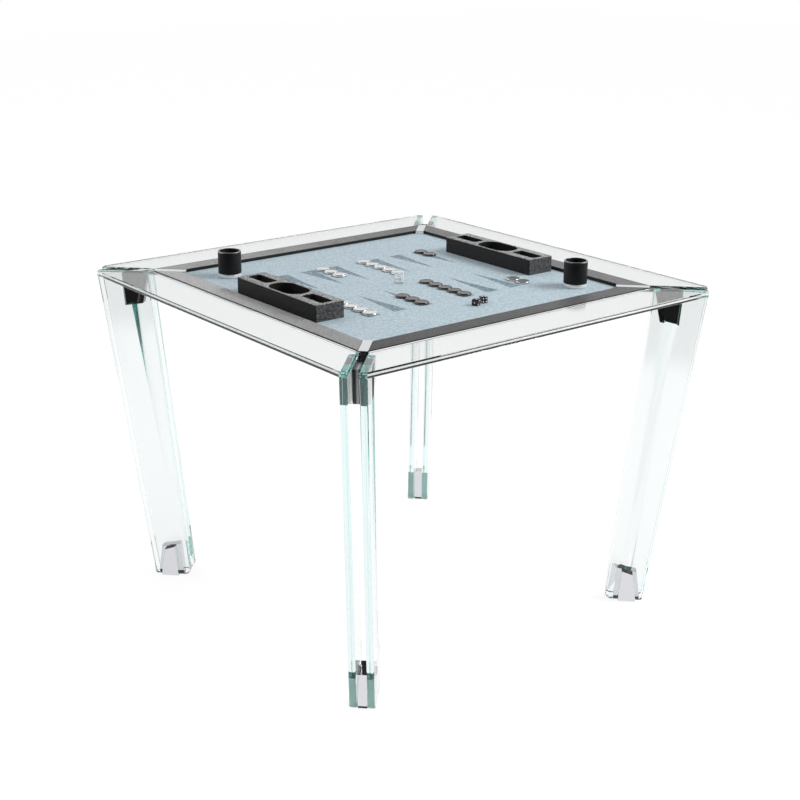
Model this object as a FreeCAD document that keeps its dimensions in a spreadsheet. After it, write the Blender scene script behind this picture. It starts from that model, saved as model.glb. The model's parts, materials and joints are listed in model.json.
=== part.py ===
import FreeCAD, Part
import os
from math import sqrt

import Sketcher
from FreeCAD import Placement, Rotation, Vector

# Games table: a square top of four clear glass panels round a leather playing field, carried on
# four glass legs. Each leg is a pair of parallel plates on a diagonal of the table, joined by a
# metal bracket under the top and a metal block at the foot. The game pieces stand on the field.
#
# Frame: origin on the floor under the middle of the table, +Z up, the players' front side at -Y.
# A "reach" is a distance from the middle of the table along a diagonal.

# Driving dimensions, in millimetres
SIZES = (
    # table
    ("table_width", 1000),
    ("table_height", 755),
    ("panel_thickness", 12),
    ("panel_width", 100),
    ("panel_arris", 1.5),
    # leather-clad border and playing field
    ("border_width", 48),
    ("border_rise", 1),
    ("border_edge_radius", 1.2),
    ("field_drop", 6.5),
    ("leather_thickness", 2),
    # points of the playing field
    ("point_tray_gap", 37.1),
    ("point_side_gap", 0.6),
    ("point_end_gap", 157),
    ("point_tip_reach", 44),
    ("point_bar_gap", 49),
    # leg plates
    ("plate_thickness", 15),
    ("plate_spacing", 22),
    ("plate_top_width", 117),
    ("plate_bottom_width", 86),
    ("plate_splay", 100),
    ("plate_floor_gap", 7),
    ("plate_outer_radius", 6),
    ("plate_inner_radius", 14),
    ("plate_arris", 1.5),
    # metal between the plates
    ("metal_thickness", 20),
    ("metal_arris", 0.5),
    ("bar_length", 73),
    ("bar_rise", 0.6),
    ("arm_thickness", 6),
    ("arm_lap", 14),
    ("bracket_setback", 53),
    ("bracket_top_width", 60),
    ("bracket_height", 69),
    ("bracket_bottom_rise", 6),
    ("bracket_outer_taper", 5),
    ("bracket_inner_taper", 13),
    ("pad_inner_inset", 10),
    ("pad_outer_inset", 5),
    ("pad_edge_inset", 5),
    ("pad_clearance", 0.25),
    # screws that hold the bars to the brackets
    ("screw_diameter", 6),
    ("screw_bar_depth", 4),
    ("screw_end_distance", 18),
    # feet
    ("foot_setback", 5),
    ("foot_bottom_width", 61),
    ("foot_block_gap", 10),
    ("foot_outer_height", 65.5),
    ("foot_top_rise", 8),
    ("foot_inner_taper", 6),
    ("foot_outer_taper", 10),
    ("foot_base_height", 6),
    ("foot_spacer_inset", 1.5),
    ("face_floor_gap", 3),
    ("face_inner_inset", 11),
    ("face_outer_inset", 9),
    ("face_top_inset", 5),
    ("stud_diameter", 8),
    ("stud_floor_gap", 2),
    ("stud_block_depth", 30),
    # piece trays
    ("tray_length", 293),
    ("tray_width", 71),
    ("tray_height", 36),
    ("tray_corner_radius", 3),
    ("tray_edge_bevel", 1.2),
    ("tray_floor", 8),
    ("tray_wall_gap", 13),
    ("tray_left_shift", -19),
    ("tray_right_shift", 5),
    ("small_well_length", 73),
    ("small_well_width", 32),
    ("small_well_radius", 7),
    ("large_well_length", 108),
    ("large_well_width", 61),
    ("well_spacing", 10),
    # dice cups
    ("cup_diameter", 52),
    ("cup_height", 59),
    ("cup_wall", 3.5),
    ("cup_floor", 3),
    ("cup_foot_height", 9),
    ("cup_foot_bevel", 1.5),
    ("cup_rim_height", 2),
    ("cup_rim_bevel", 0.5),
    ("left_cup_side_gap", 52.5),
    ("left_cup_end_gap", 64.5),
    ("right_cup_side_gap", 42.5),
    ("right_cup_end_gap", 53.5),
    # dice and doubling cube
    ("die_width", 14),
    ("die_edge_bevel", 0.8),
    ("first_die_x", 5.5),
    ("first_die_end_gap", 93),
    ("second_die_x", 32),
    ("second_die_end_gap", 100),
    ("cube_width", 21),
    ("cube_edge_bevel", 1.2),
    ("cube_x", -6),
    ("cube_y", -14),
    # checkers
    ("checker_thickness", 5),
    ("checker_point_margin", 1.5),
    ("checker_row_gap", 0.6),
    ("checker_bevel", 1.4),
    # how many checkers stand on a point
    ("first_point_count", 5),
    ("fifth_point_count", 3),
    ("seventh_point_count", 5),
    ("last_point_count", 2),
)

# Corners of the table and the angle of each diagonal, and its sides and their turn from the front
CORNERS = {"front_left": -135, "front_right": -45, "back_right": 45, "back_left": 135}
SIDES = {"front": 0, "right": 90, "back": 180, "left": 270}

# Angles of the first die, the second die and the doubling cube as they were thrown
FIRST_DIE_TURN = 20
SECOND_DIE_TURN = -12
CUBE_TURN = 47

POINTS_PER_SIDE = 12

# Points that carry checkers at the start, numbered from the left, and those with dark ones
POINT_NUMBERS = {"first": 0, "fifth": 4, "seventh": 6, "last": 11}
DARK_PLACES = {"back": ("first", "last"), "front": ("fifth", "seventh")}

ROOT_TWO = sqrt(2)
DIRECTION_TOLERANCE = 1e-6
LENGTH_TOLERANCE = 1e-9
CUBIC_MM_PER_CM = 1000


class Size:
    """A length with its number and the expression that ties it to the sheet."""

    def __init__(self, number, text):
        self.number = number
        self.text = text

    def joined(self, sign, other, number):
        return Size(number, "(%s %s %s)" % (self.text, sign, as_size(other).text))

    def __add__(self, other):
        return self.joined("+", other, self.number + as_size(other).number)

    def __sub__(self, other):
        return self.joined("-", other, self.number - as_size(other).number)

    def __mul__(self, factor):
        return self.joined("*", factor, self.number * factor)

    def __truediv__(self, factor):
        return self.joined("/", factor, self.number / factor)

    def __neg__(self):
        return Size(-self.number, "(0 - %s)" % self.text)


def as_size(value):
    """Zero and plain factors stand beside the sizes as they are."""
    return value if isinstance(value, Size) else Size(float(value), repr(float(value)))


doc = FreeCAD.newDocument("games_table")
sheet = doc.addObject("Spreadsheet::Sheet", "sizes")
for line, (alias, value) in enumerate(SIZES, 1):
    sheet.set("A%d" % line, alias)
    sheet.set("B%d" % line, str(value))
    sheet.setAlias("B%d" % line, alias)
doc.recompute()

size = {alias: Size(float(value), "sizes." + alias) for alias, value in SIZES}
nodes = []


# Building blocks

def new_body(label, turn=0, x=None, y=None, z=None):
    """A sub-part, turned about the vertical axis and moved to its place."""
    body = doc.addObject("PartDesign::Body", label)
    body.Label = label
    body.AllowCompound = True
    body.Placement = Placement(Vector(0, 0, 0), Rotation(Vector(0, 0, 1), turn))
    for axis, place in (("x", x), ("y", y), ("z", z)):
        if place is not None:
            body.setExpression("Placement.Base." + axis, place.text)
    nodes.append(body)
    return body


def new_sketch(body, plane_role, lift=None):
    """A sketch on one of the body's own planes, lifted off it along the plane's normal."""
    sketch = body.newObject("Sketcher::SketchObject", body.Name + "_sketch")
    plane = [item for item in body.Origin.OriginFeatures if item.Role == plane_role][0]
    sketch.AttachmentSupport = (plane, [""])
    sketch.MapMode = "FlatFace"
    if lift is not None:
        sketch.setExpression("AttachmentOffset.Base.z", lift.text)
    return sketch


def place_point(sketch, geometry, end, point):
    """Tie one point of the sketch to the origin by its two distances."""
    for kind, axis, coordinate in (("DistanceX", -2, point[0]), ("DistanceY", -1, point[1])):
        if isinstance(coordinate, Size):
            number = sketch.addConstraint(
                Sketcher.Constraint(kind, -1, 1, geometry, end, coordinate.number))
            sketch.setExpression("Constraints[%d]" % number, coordinate.text)
        else:
            sketch.addConstraint(Sketcher.Constraint("PointOnObject", geometry, end, axis))


def add_outline(sketch, points):
    """A closed outline of straight lines; a coordinate that is not a Size is zero."""
    corners = [Vector(as_size(x).number, as_size(y).number, 0) for x, y in points]
    first = sketch.GeometryCount
    for start, finish in zip(corners, corners[1:] + corners[:1]):
        sketch.addGeometry(Part.LineSegment(start, finish), False)
    for index, point in enumerate(points):
        following = first + (index + 1) % len(points)
        sketch.addConstraint(Sketcher.Constraint("Coincident", first + index, 2, following, 1))
        place_point(sketch, first + index, 1, point)


def add_circle(sketch, x, y, radius):
    center = Vector(as_size(x).number, as_size(y).number, 0)
    circle = sketch.addGeometry(Part.Circle(center, Vector(0, 0, 1), radius.number), False)
    place_point(sketch, circle, 3, (x, y))
    number = sketch.addConstraint(Sketcher.Constraint("Radius", circle, radius.number))
    sketch.setExpression("Constraints[%d]" % number, radius.text)


def pad(body, sketch, length):
    feature = body.newObject("PartDesign::Pad", body.Name + "_pad")
    feature.Profile = sketch
    feature.setExpression("Length", length.text)
    sketch.Visibility = False
    doc.recompute()
    return feature


def pocket(body, sketch, depth, along_normal=False):
    """A cut that must take material away; it runs against the sketch's normal by default."""
    before = body.Shape.Volume
    feature = body.newObject("PartDesign::Pocket", body.Name + "_pocket")
    feature.Profile = sketch
    feature.Reversed = along_normal
    feature.setExpression("Length", depth.text)
    doc.recompute()
    if not body.Shape.Volume < before:
        raise RuntimeError("the pocket in %s cuts nothing" % body.Label)
    return feature


def revolve(body, sketch):
    """A full turn about the sketch's vertical axis."""
    feature = body.newObject("PartDesign::Revolution", body.Name + "_revolution")
    feature.Profile = sketch
    feature.ReferenceAxis = (sketch, ["V_Axis"])
    feature.Angle = 360
    doc.recompute()
    return feature


def dress(body, kind, references, length):
    """A fillet or chamfer on named edges or faces of the body so far."""
    feature = body.newObject("PartDesign::" + kind, body.Name + "_" + kind.lower())
    feature.Base = (body_tip_before(body, feature), references)
    feature.setExpression("Radius" if kind == "Fillet" else "Size", length.text)
    doc.recompute()
    return feature


def body_tip_before(body, feature):
    """The solid feature that stands just before the given one."""
    solids = [item for item in body.Group if item.isDerivedFrom("PartDesign::Feature")]
    return solids[solids.index(feature) - 1]


def pattern_round(body, originals, count):
    """Copies of the features at equal angles about the vertical axis."""
    feature = body.newObject("PartDesign::PolarPattern", body.Name + "_polar")
    feature.Originals = originals
    axis = [item for item in body.Origin.OriginFeatures if item.Role == "Z_Axis"][0]
    feature.Axis = (axis, [""])
    feature.Angle = 360
    feature.Occurrences = count
    body.Tip = feature
    doc.recompute()
    return feature


def pattern_along(body, original, role, reversed_way, pitch, count):
    """Copies of the feature in a straight row, one at each step."""
    feature = body.newObject("PartDesign::LinearPattern", body.Name + "_row")
    feature.Originals = [original]
    axis = [item for item in body.Origin.OriginFeatures if item.Role == role][0]
    feature.Direction = (axis, [""])
    feature.Reversed = reversed_way
    feature.setExpression("Length", "%s * (%s - 1)" % (pitch.text, count.text))
    feature.setExpression("Occurrences", count.text)
    body.Tip = feature
    doc.recompute()
    return feature


def edges_where(body, test):
    return ["Edge%d" % number for number, edge in enumerate(body.Shape.Edges, 1) if test(edge)]


def faces_facing(body, direction):
    """Names of the flat faces whose outward normal is the given direction, in the body's frame."""
    found = []
    turned = body.Placement.Rotation.multVec(direction)
    for number, face in enumerate(body.Shape.Faces, 1):
        if face.normalAt(0, 0).isEqual(turned, DIRECTION_TOLERANCE):
            found.append("Face%d" % number)
    return found


def runs_along(body, edge, direction):
    """Whether a straight edge is parallel to a direction of the body's frame."""
    if edge.Curve.TypeId != "Part::GeomLine":
        return False
    turned = body.Placement.Rotation.multVec(direction)
    return edge.tangentAt(edge.FirstParameter).cross(turned).Length < DIRECTION_TOLERANCE


X_AXIS = Vector(1, 0, 0)
Y_AXIS = Vector(0, 1, 0)
Z_AXIS = Vector(0, 0, 1)

# Levels and reaches that several pieces share
half_width = size["table_width"] / 2
half_metal = size["metal_thickness"] / 2
half_spacing = size["plate_spacing"] / 2
half_leg = half_spacing + size["plate_thickness"]
cut_reach = half_width * ROOT_TWO - half_leg
border_outer = half_width - size["panel_width"]
border_inner = border_outer - size["border_width"]

top_level = size["table_height"]
underside_level = top_level - size["panel_thickness"]
field_level = top_level - size["field_drop"]
board_level = field_level - size["leather_thickness"]
arm_bottom = underside_level - size["arm_thickness"]

bar_outer_reach = border_outer * ROOT_TWO - half_metal
bar_inner_reach = bar_outer_reach - size["bar_length"]

# The points fill the field between the trays, and a checker is as wide as its point allows
tray_inner = border_inner - size["tray_wall_gap"] - size["tray_width"]
point_reach = tray_inner - size["point_tray_gap"]
point_pitch = (point_reach * 2 - size["point_bar_gap"]) / POINTS_PER_SIDE
point_base_reach = border_inner - size["point_end_gap"]
checker_radius = point_pitch / 2 - size["checker_point_margin"]
checker_pitch = checker_radius * 2 + size["checker_row_gap"]


def diagonal_point(reach, offset, side_x, side_y):
    """Plan point at a reach on a diagonal, set off it sideways towards the X side of the table."""
    along = reach / ROOT_TWO
    across = offset / ROOT_TWO
    x = along + across
    y = along - across
    return (x if side_x > 0 else -x, y if side_y > 0 else -y)


bracket_outer = cut_reach - size["bracket_setback"]
bracket_inner = bracket_outer - size["bracket_top_width"]
bracket_bottom = underside_level - size["bracket_height"]

foot_outer = cut_reach - size["plate_splay"] - size["foot_setback"]
foot_inner = foot_outer - size["foot_bottom_width"]
foot_middle = (foot_outer + foot_inner) / 2
foot_top_outer = size["foot_block_gap"] + size["foot_outer_height"]
foot_top_inner = foot_top_outer + size["foot_top_rise"]


def pad_outline(growth):
    """Outline of the black pads beside a bracket, or of the windows that they stand in."""
    edge_inset = size["pad_edge_inset"] - growth
    inner_inset = size["pad_inner_inset"] - growth
    outer_inset = size["pad_outer_inset"] - growth
    return (
        (bracket_inner + inner_inset, underside_level - edge_inset),
        (bracket_outer - outer_inset, underside_level - edge_inset),
        (bracket_outer - size["bracket_outer_taper"] - outer_inset,
         bracket_bottom + edge_inset),
        (bracket_inner + size["bracket_inner_taper"] + inner_inset,
         bracket_bottom + size["bracket_bottom_rise"] + edge_inset),
    )


def foot_face_outline(growth):
    """Outline of the polished plates beside a foot block, or of the windows round them."""
    inner = foot_inner + size["face_inner_inset"] - growth
    outer = foot_outer - size["face_outer_inset"] + growth
    top_drop = size["face_top_inset"] - growth
    return (
        (inner, size["face_floor_gap"] - growth),
        (outer, size["face_floor_gap"] - growth),
        (outer - size["foot_outer_taper"], foot_top_outer - top_drop),
        (inner + size["foot_inner_taper"], foot_top_inner - top_drop),
    )


# Glass top panels, one for each side; their mitred ends leave an open slot on each diagonal

def make_glass_panel(side, turn):
    body = new_body("glass_panel_" + side, turn)
    sketch = new_sketch(body, "XY_Plane", underside_level)
    slot = half_spacing * ROOT_TWO
    cut_near = (cut_reach - half_spacing) / ROOT_TWO
    cut_far = (cut_reach + half_spacing) / ROOT_TWO
    edge_end = cut_reach * ROOT_TWO - half_width
    right_end = (
        (border_outer - slot, -border_outer),
        (cut_near, -cut_far),
        (edge_end, -half_width),
    )
    left_end = [(-x, y) for x, y in reversed(right_end)]
    add_outline(sketch, list(right_end) + left_end)
    pad(body, sketch, size["panel_thickness"])
    dress(body, "Chamfer", faces_facing(body, Z_AXIS) + faces_facing(body, -Z_AXIS),
          size["panel_arris"])


for side, turn in SIDES.items():
    make_glass_panel(side, turn)


# Leg plates: two on each diagonal, wide at the top, each with two windows

def make_leg_plate(corner, turn, hand):
    body = new_body("leg_plate_%s_%s" % (corner, hand), turn)
    outer_face = half_leg if hand == "left" else -half_spacing
    sketch = new_sketch(body, "XZ_Plane", -outer_face)
    foot_reach = cut_reach - size["plate_splay"]
    add_outline(sketch, (
        (cut_reach - size["plate_top_width"], underside_level),
        (cut_reach, underside_level),
        (foot_reach, size["plate_floor_gap"]),
        (foot_reach - size["plate_bottom_width"], size["plate_floor_gap"]),
    ))
    pad(body, sketch, size["plate_thickness"])
    middle = foot_reach.number - size["plate_bottom_width"].number / 2

    def lower_edge(edge, outer):
        center = body.Placement.inverse().multVec(edge.CenterOfMass)
        low = center.z < size["plate_floor_gap"].number + size["plate_bottom_width"].number / 2
        return low and runs_along(body, edge, Y_AXIS) and (center.x > middle) == outer

    dress(body, "Fillet", edges_where(body, lambda edge: lower_edge(edge, True)),
          size["plate_outer_radius"])
    dress(body, "Fillet", edges_where(body, lambda edge: lower_edge(edge, False)),
          size["plate_inner_radius"])
    dress(body, "Chamfer", faces_facing(body, Y_AXIS) + faces_facing(body, -Y_AXIS),
          size["plate_arris"])
    windows = new_sketch(body, "XZ_Plane", -outer_face)
    add_outline(windows, pad_outline(size["pad_clearance"]))
    add_outline(windows, foot_face_outline(size["pad_clearance"]))
    pocket(body, windows, size["plate_thickness"], along_normal=True)


for corner, turn in CORNERS.items():
    make_leg_plate(corner, turn, "left")
    make_leg_plate(corner, turn, "right")


# Brackets: a tapered block between the plates, with an arm that reaches in under the board

screw_reaches = (
    bar_inner_reach + size["screw_end_distance"],
    bar_outer_reach - size["screw_end_distance"],
)


def make_bracket(corner, turn):
    body = new_body("leg_bracket_" + corner, turn)
    sketch = new_sketch(body, "XZ_Plane", -half_metal)
    add_outline(sketch, (
        (bar_inner_reach - size["arm_lap"], arm_bottom),
        (bar_inner_reach - size["arm_lap"], underside_level),
        (bracket_outer, underside_level),
        (bracket_outer - size["bracket_outer_taper"], bracket_bottom),
        (bracket_inner + size["bracket_inner_taper"],
         bracket_bottom + size["bracket_bottom_rise"]),
        (bracket_inner, arm_bottom),
    ))
    pad(body, sketch, size["metal_thickness"])
    holes = new_sketch(body, "XY_Plane", arm_bottom)
    for reach in screw_reaches:
        add_circle(holes, reach, 0, size["screw_diameter"] / 2)
    pocket(body, holes, size["arm_thickness"], along_normal=True)


for corner, turn in CORNERS.items():
    make_bracket(corner, turn)


# Corner bars: polished bars on the arms, between the ends of the leather border

def make_corner_bar(corner, turn):
    body = new_body("corner_bar_" + corner, turn)
    bar_top = top_level + size["bar_rise"]
    sketch = new_sketch(body, "XZ_Plane", -half_metal)
    add_outline(sketch, (
        (bar_inner_reach, underside_level),
        (bar_outer_reach, underside_level),
        (bar_outer_reach, bar_top),
        (bar_inner_reach, bar_top),
    ))
    pad(body, sketch, size["metal_thickness"])
    dress(body, "Chamfer", faces_facing(body, Z_AXIS), size["metal_arris"])
    holes = new_sketch(body, "XY_Plane", underside_level)
    for reach in screw_reaches:
        add_circle(holes, reach, 0, size["screw_diameter"] / 2)
    pocket(body, holes, size["screw_bar_depth"], along_normal=True)


for corner, turn in CORNERS.items():
    make_corner_bar(corner, turn)


# Screws: two headless ones for each bar, flush with the underside of the arm

def make_screws():
    body = new_body("bracket_screws", CORNERS["back_right"])
    sketch = new_sketch(body, "XY_Plane", arm_bottom)
    for reach in screw_reaches:
        add_circle(sketch, reach, 0, size["screw_diameter"] / 2)
    screws = pad(body, sketch, size["arm_thickness"] + size["screw_bar_depth"])
    pattern_round(body, [screws], len(CORNERS))


make_screws()


# Bracket pads: black pads on each side of a bracket, which fill the windows in its two plates

def make_side_plates(label, points, outer_face):
    """Pairs of plates on the metal's two sides, as far out as a named face, at each corner."""
    body = new_body(label, CORNERS["back_right"])
    pads = []
    for level in (-outer_face, half_metal):
        sketch = new_sketch(body, "XZ_Plane", level)
        add_outline(sketch, points)
        pads.append(pad(body, sketch, outer_face - half_metal))
    pattern_round(body, pads, len(CORNERS))


make_side_plates("bracket_pads", pad_outline(0), half_leg)


# Feet: a polished block, its face plates, a rubber spacer, a base plate and a levelling stud

def make_foot_block(corner, turn):
    body = new_body("foot_block_" + corner, turn)
    sketch = new_sketch(body, "XZ_Plane", -half_metal)
    add_outline(sketch, (
        (foot_inner, size["foot_block_gap"]),
        (foot_outer, size["foot_block_gap"]),
        (foot_outer - size["foot_outer_taper"], foot_top_outer),
        (foot_inner + size["foot_inner_taper"], foot_top_inner),
    ))
    pad(body, sketch, size["metal_thickness"])
    dress(body, "Chamfer", faces_facing(body, Y_AXIS) + faces_facing(body, -Y_AXIS),
          size["metal_arris"])
    bore = new_sketch(body, "XY_Plane", size["foot_block_gap"])
    add_circle(bore, foot_middle, 0, size["stud_diameter"] / 2)
    pocket(body, bore, size["stud_block_depth"], along_normal=True)


def make_foot_base(corner, turn):
    body = new_body("foot_base_" + corner, turn)
    sketch = new_sketch(body, "XY_Plane")
    add_outline(sketch, (
        (foot_inner, -half_metal),
        (foot_outer, -half_metal),
        (foot_outer, half_metal),
        (foot_inner, half_metal),
    ))
    pad(body, sketch, size["foot_base_height"])
    dress(body, "Chamfer", faces_facing(body, Z_AXIS), size["metal_arris"])
    socket = new_sketch(body, "XY_Plane", size["foot_base_height"])
    add_circle(socket, foot_middle, 0, size["stud_diameter"] / 2)
    pocket(body, socket, size["foot_base_height"] - size["stud_floor_gap"])


for corner, turn in CORNERS.items():
    make_foot_block(corner, turn)
    make_foot_base(corner, turn)


def make_foot_spacers():
    body = new_body("foot_spacers", CORNERS["back_right"])
    sketch = new_sketch(body, "XY_Plane", size["foot_base_height"])
    inset = size["foot_spacer_inset"]
    add_outline(sketch, (
        (foot_inner + inset, inset - half_metal),
        (foot_outer - inset, inset - half_metal),
        (foot_outer - inset, half_metal - inset),
        (foot_inner + inset, half_metal - inset),
    ))
    add_circle(sketch, foot_middle, 0, size["stud_diameter"] / 2)
    spacer = pad(body, sketch, size["foot_block_gap"] - size["foot_base_height"])
    pattern_round(body, [spacer], len(CORNERS))


def make_foot_studs():
    body = new_body("foot_studs", CORNERS["back_right"])
    sketch = new_sketch(body, "XY_Plane", size["stud_floor_gap"])
    add_circle(sketch, foot_middle, 0, size["stud_diameter"] / 2)
    stud_top = size["foot_block_gap"] + size["stud_block_depth"]
    stud = pad(body, sketch, stud_top - size["stud_floor_gap"])
    pattern_round(body, [stud], len(CORNERS))


make_foot_spacers()
make_foot_studs()
make_side_plates("foot_faces", foot_face_outline(0), half_leg)


# Playing field: a board, four leather-clad border strips and a leather sheet with inlaid points

def notched_square(half):
    """A square whose corners are open along the diagonals for the bars."""
    points = []
    for side_x, side_y in ((1, 1), (-1, 1), (-1, -1), (1, -1)):
        edge_reach = half * ROOT_TWO - half_metal
        corner = [
            diagonal_point(edge_reach, half_metal, side_x, side_y),
            diagonal_point(bar_inner_reach, half_metal, side_x, side_y),
            diagonal_point(bar_inner_reach, -half_metal, side_x, side_y),
            diagonal_point(edge_reach, -half_metal, side_x, side_y),
        ]
        points += corner if side_x == side_y else reversed(corner)
    return points


def make_base_board():
    body = new_body("base_board")
    sketch = new_sketch(body, "XY_Plane", underside_level)
    add_outline(sketch, notched_square(border_outer))
    pad(body, sketch, board_level - underside_level)


def make_border_strip(side, turn):
    body = new_body("border_strip_" + side, turn)
    sketch = new_sketch(body, "XY_Plane", board_level)
    mitre = half_metal * ROOT_TWO
    add_outline(sketch, (
        (border_inner - mitre, -border_inner),
        (border_outer - mitre, -border_outer),
        (mitre - border_outer, -border_outer),
        (mitre - border_inner, -border_inner),
    ))
    pad(body, sketch, top_level + size["border_rise"] - board_level)
    strip_top = (top_level + size["border_rise"]).number

    def upper_long_edge(edge):
        high = edge.CenterOfMass.z > strip_top - size["border_edge_radius"].number / 2
        return high and runs_along(body, edge, X_AXIS)

    dress(body, "Fillet", edges_where(body, upper_long_edge), size["border_edge_radius"])


def point_center(number):
    """Middle of a point across the field, with the gap of the bar after the sixth."""
    middle = (POINTS_PER_SIDE - 1) / 2
    side = 1 if number > middle else -1
    return point_pitch * (number - middle) + size["point_bar_gap"] / 2 * side


def dark_points():
    """Triangles of the dark points: every second one, starting from opposite ends."""
    half_base = point_pitch / 2 - size["point_side_gap"]
    triangles = []
    for side in (1, -1):
        for number in range(1 if side > 0 else 0, POINTS_PER_SIDE, 2):
            center = point_center(number)
            triangles.append((
                (center - half_base, point_base_reach * side),
                (center + half_base, point_base_reach * side),
                (center, size["point_tip_reach"] * side),
            ))
    return triangles


def make_field_leather():
    body = new_body("field_leather")
    sketch = new_sketch(body, "XY_Plane", board_level)
    add_outline(sketch, notched_square(border_inner))
    pad(body, sketch, size["leather_thickness"])
    inlays = new_sketch(body, "XY_Plane", field_level)
    for triangle in dark_points():
        add_outline(inlays, triangle)
    pocket(body, inlays, size["leather_thickness"])


def make_points():
    body = new_body("points_dark")
    sketch = new_sketch(body, "XY_Plane", board_level)
    for triangle in dark_points():
        add_outline(sketch, triangle)
    pad(body, sketch, size["leather_thickness"])


make_base_board()
for side, turn in SIDES.items():
    make_border_strip(side, turn)
make_field_leather()
make_points()


# Piece trays: leather-wrapped boxes with a large well between two small ones

def make_tray(label, x, y):
    body = new_body(label, 0, x, y, field_level)
    half_length = size["tray_length"] / 2
    half_tray = size["tray_width"] / 2
    box = new_sketch(body, "XY_Plane")
    add_outline(box, (
        (-half_tray, -half_length),
        (half_tray, -half_length),
        (half_tray, half_length),
        (-half_tray, half_length),
    ))
    pad(body, box, size["tray_height"])
    dress(body, "Fillet", edges_where(body, lambda edge: runs_along(body, edge, Z_AXIS)),
          size["tray_corner_radius"])
    dress(body, "Chamfer", faces_facing(body, Z_AXIS), size["tray_edge_bevel"])
    wells = new_sketch(body, "XY_Plane", size["tray_height"])
    add_slot(wells, 0, size["large_well_width"], size["large_well_length"],
             size["large_well_width"] / 2)
    small_center = (size["large_well_length"] + size["small_well_length"]) / 2 \
        + size["well_spacing"]
    for center in (small_center, -small_center):
        add_slot(wells, center, size["small_well_width"], size["small_well_length"],
                 size["small_well_radius"])
    pocket(body, wells, size["tray_height"] - size["tray_floor"])


def add_slot(sketch, center, width, length, radius):
    """A rounded rectangle on the vertical axis; its sides are straight between the arcs."""
    half = width / 2
    inset = half - radius
    upper = center + length / 2 if isinstance(center, Size) else length / 2
    lower = center - length / 2 if isinstance(center, Size) else -(length / 2)
    round_ends = inset.number < LENGTH_TOLERANCE
    right = ((half, lower + radius), (half, upper - radius))
    left = ((-half, upper - radius), (-half, lower + radius))
    top = ((inset, upper), (-inset, upper))
    bottom = ((-inset, lower), (inset, lower))
    sides = [right, left] if round_ends else [right, top, left, bottom]
    lines = []
    for start, finish in sides:
        ends = [Vector(x.number, y.number, 0) for x, y in (start, finish)]
        lines.append(sketch.addGeometry(Part.LineSegment(*ends), False))
        place_point(sketch, lines[-1], 1, start)
        place_point(sketch, lines[-1], 2, finish)
    for line, following in zip(lines, lines[1:] + lines[:1]):
        start = sketch.Geometry[line].EndPoint
        finish = sketch.Geometry[following].StartPoint
        heading = sketch.Geometry[line].EndPoint - sketch.Geometry[line].StartPoint
        heading.normalize()
        if round_ends:
            middle = (start + finish) / 2 + heading * radius.number
        else:
            turned = Vector(-heading.y, heading.x, 0)
            center_point = start + turned * radius.number
            outward = heading - turned
            outward.normalize()
            middle = center_point + outward * radius.number
        arc = sketch.addGeometry(Part.Arc(start, middle, finish), False)
        sketch.addConstraint(Sketcher.Constraint("Tangent", line, 2, arc, 1))
        sketch.addConstraint(Sketcher.Constraint("Coincident", arc, 2, following, 1))


tray_x = tray_inner + size["tray_width"] / 2
make_tray("tray_left", -tray_x, size["tray_left_shift"])
make_tray("tray_right", tray_x, size["tray_right_shift"])


# Dice cups: a leather-wrapped cup with a steel foot and a steel rim

cup_radius = size["cup_diameter"] / 2
cup_bore = cup_radius - size["cup_wall"]
cup_rim_level = size["cup_height"] - size["cup_rim_height"]


def make_revolved(label, x, y, profile):
    body = new_body(label, 0, x, y, field_level)
    sketch = new_sketch(body, "XZ_Plane")
    add_outline(sketch, profile)
    revolve(body, sketch)
    return body


def make_cup(hand, x, y):
    bevel = size["cup_foot_bevel"]
    make_revolved("cup_%s_foot" % hand, x, y, (
        (0, 0),
        (cup_radius - bevel, 0),
        (cup_radius, bevel),
        (cup_radius, size["cup_foot_height"]),
        (0, size["cup_foot_height"]),
    ))
    make_revolved("cup_%s_body" % hand, x, y, (
        (0, size["cup_foot_height"]),
        (cup_radius, size["cup_foot_height"]),
        (cup_radius, cup_rim_level),
        (cup_bore, cup_rim_level),
        (cup_bore, size["cup_foot_height"] + size["cup_floor"]),
        (0, size["cup_foot_height"] + size["cup_floor"]),
    ))
    rim_bevel = size["cup_rim_bevel"]
    make_revolved("cup_%s_rim" % hand, x, y, (
        (cup_bore, cup_rim_level),
        (cup_radius, cup_rim_level),
        (cup_radius, size["cup_height"] - rim_bevel),
        (cup_radius - rim_bevel, size["cup_height"]),
        (cup_bore, size["cup_height"]),
    ))


make_cup("left", size["left_cup_side_gap"] + cup_radius - border_inner,
         border_inner - size["left_cup_end_gap"] - cup_radius)
make_cup("right", border_inner - size["right_cup_side_gap"] - cup_radius,
         size["right_cup_end_gap"] + cup_radius - border_inner)


# Dice and doubling cube: small blocks with bevelled edges

def make_block(label, turn, x, y, width, bevel):
    body = new_body(label, turn, x, y, field_level)
    sketch = new_sketch(body, "XY_Plane")
    half = width / 2
    add_outline(sketch, ((-half, -half), (half, -half), (half, half), (-half, half)))
    pad(body, sketch, width)
    dress(body, "Chamfer", edges_where(body, lambda edge: True), bevel)


make_block("die_first", FIRST_DIE_TURN, size["first_die_x"],
           size["first_die_end_gap"] - border_inner, size["die_width"], size["die_edge_bevel"])
make_block("die_second", SECOND_DIE_TURN, size["second_die_x"],
           size["second_die_end_gap"] - border_inner, size["die_width"],
           size["die_edge_bevel"])
make_block("doubling_cube", CUBE_TURN, size["cube_x"], size["cube_y"], size["cube_width"],
           size["cube_edge_bevel"])


# Checkers: rows of discs with bevelled edges, from the base of their point

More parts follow.
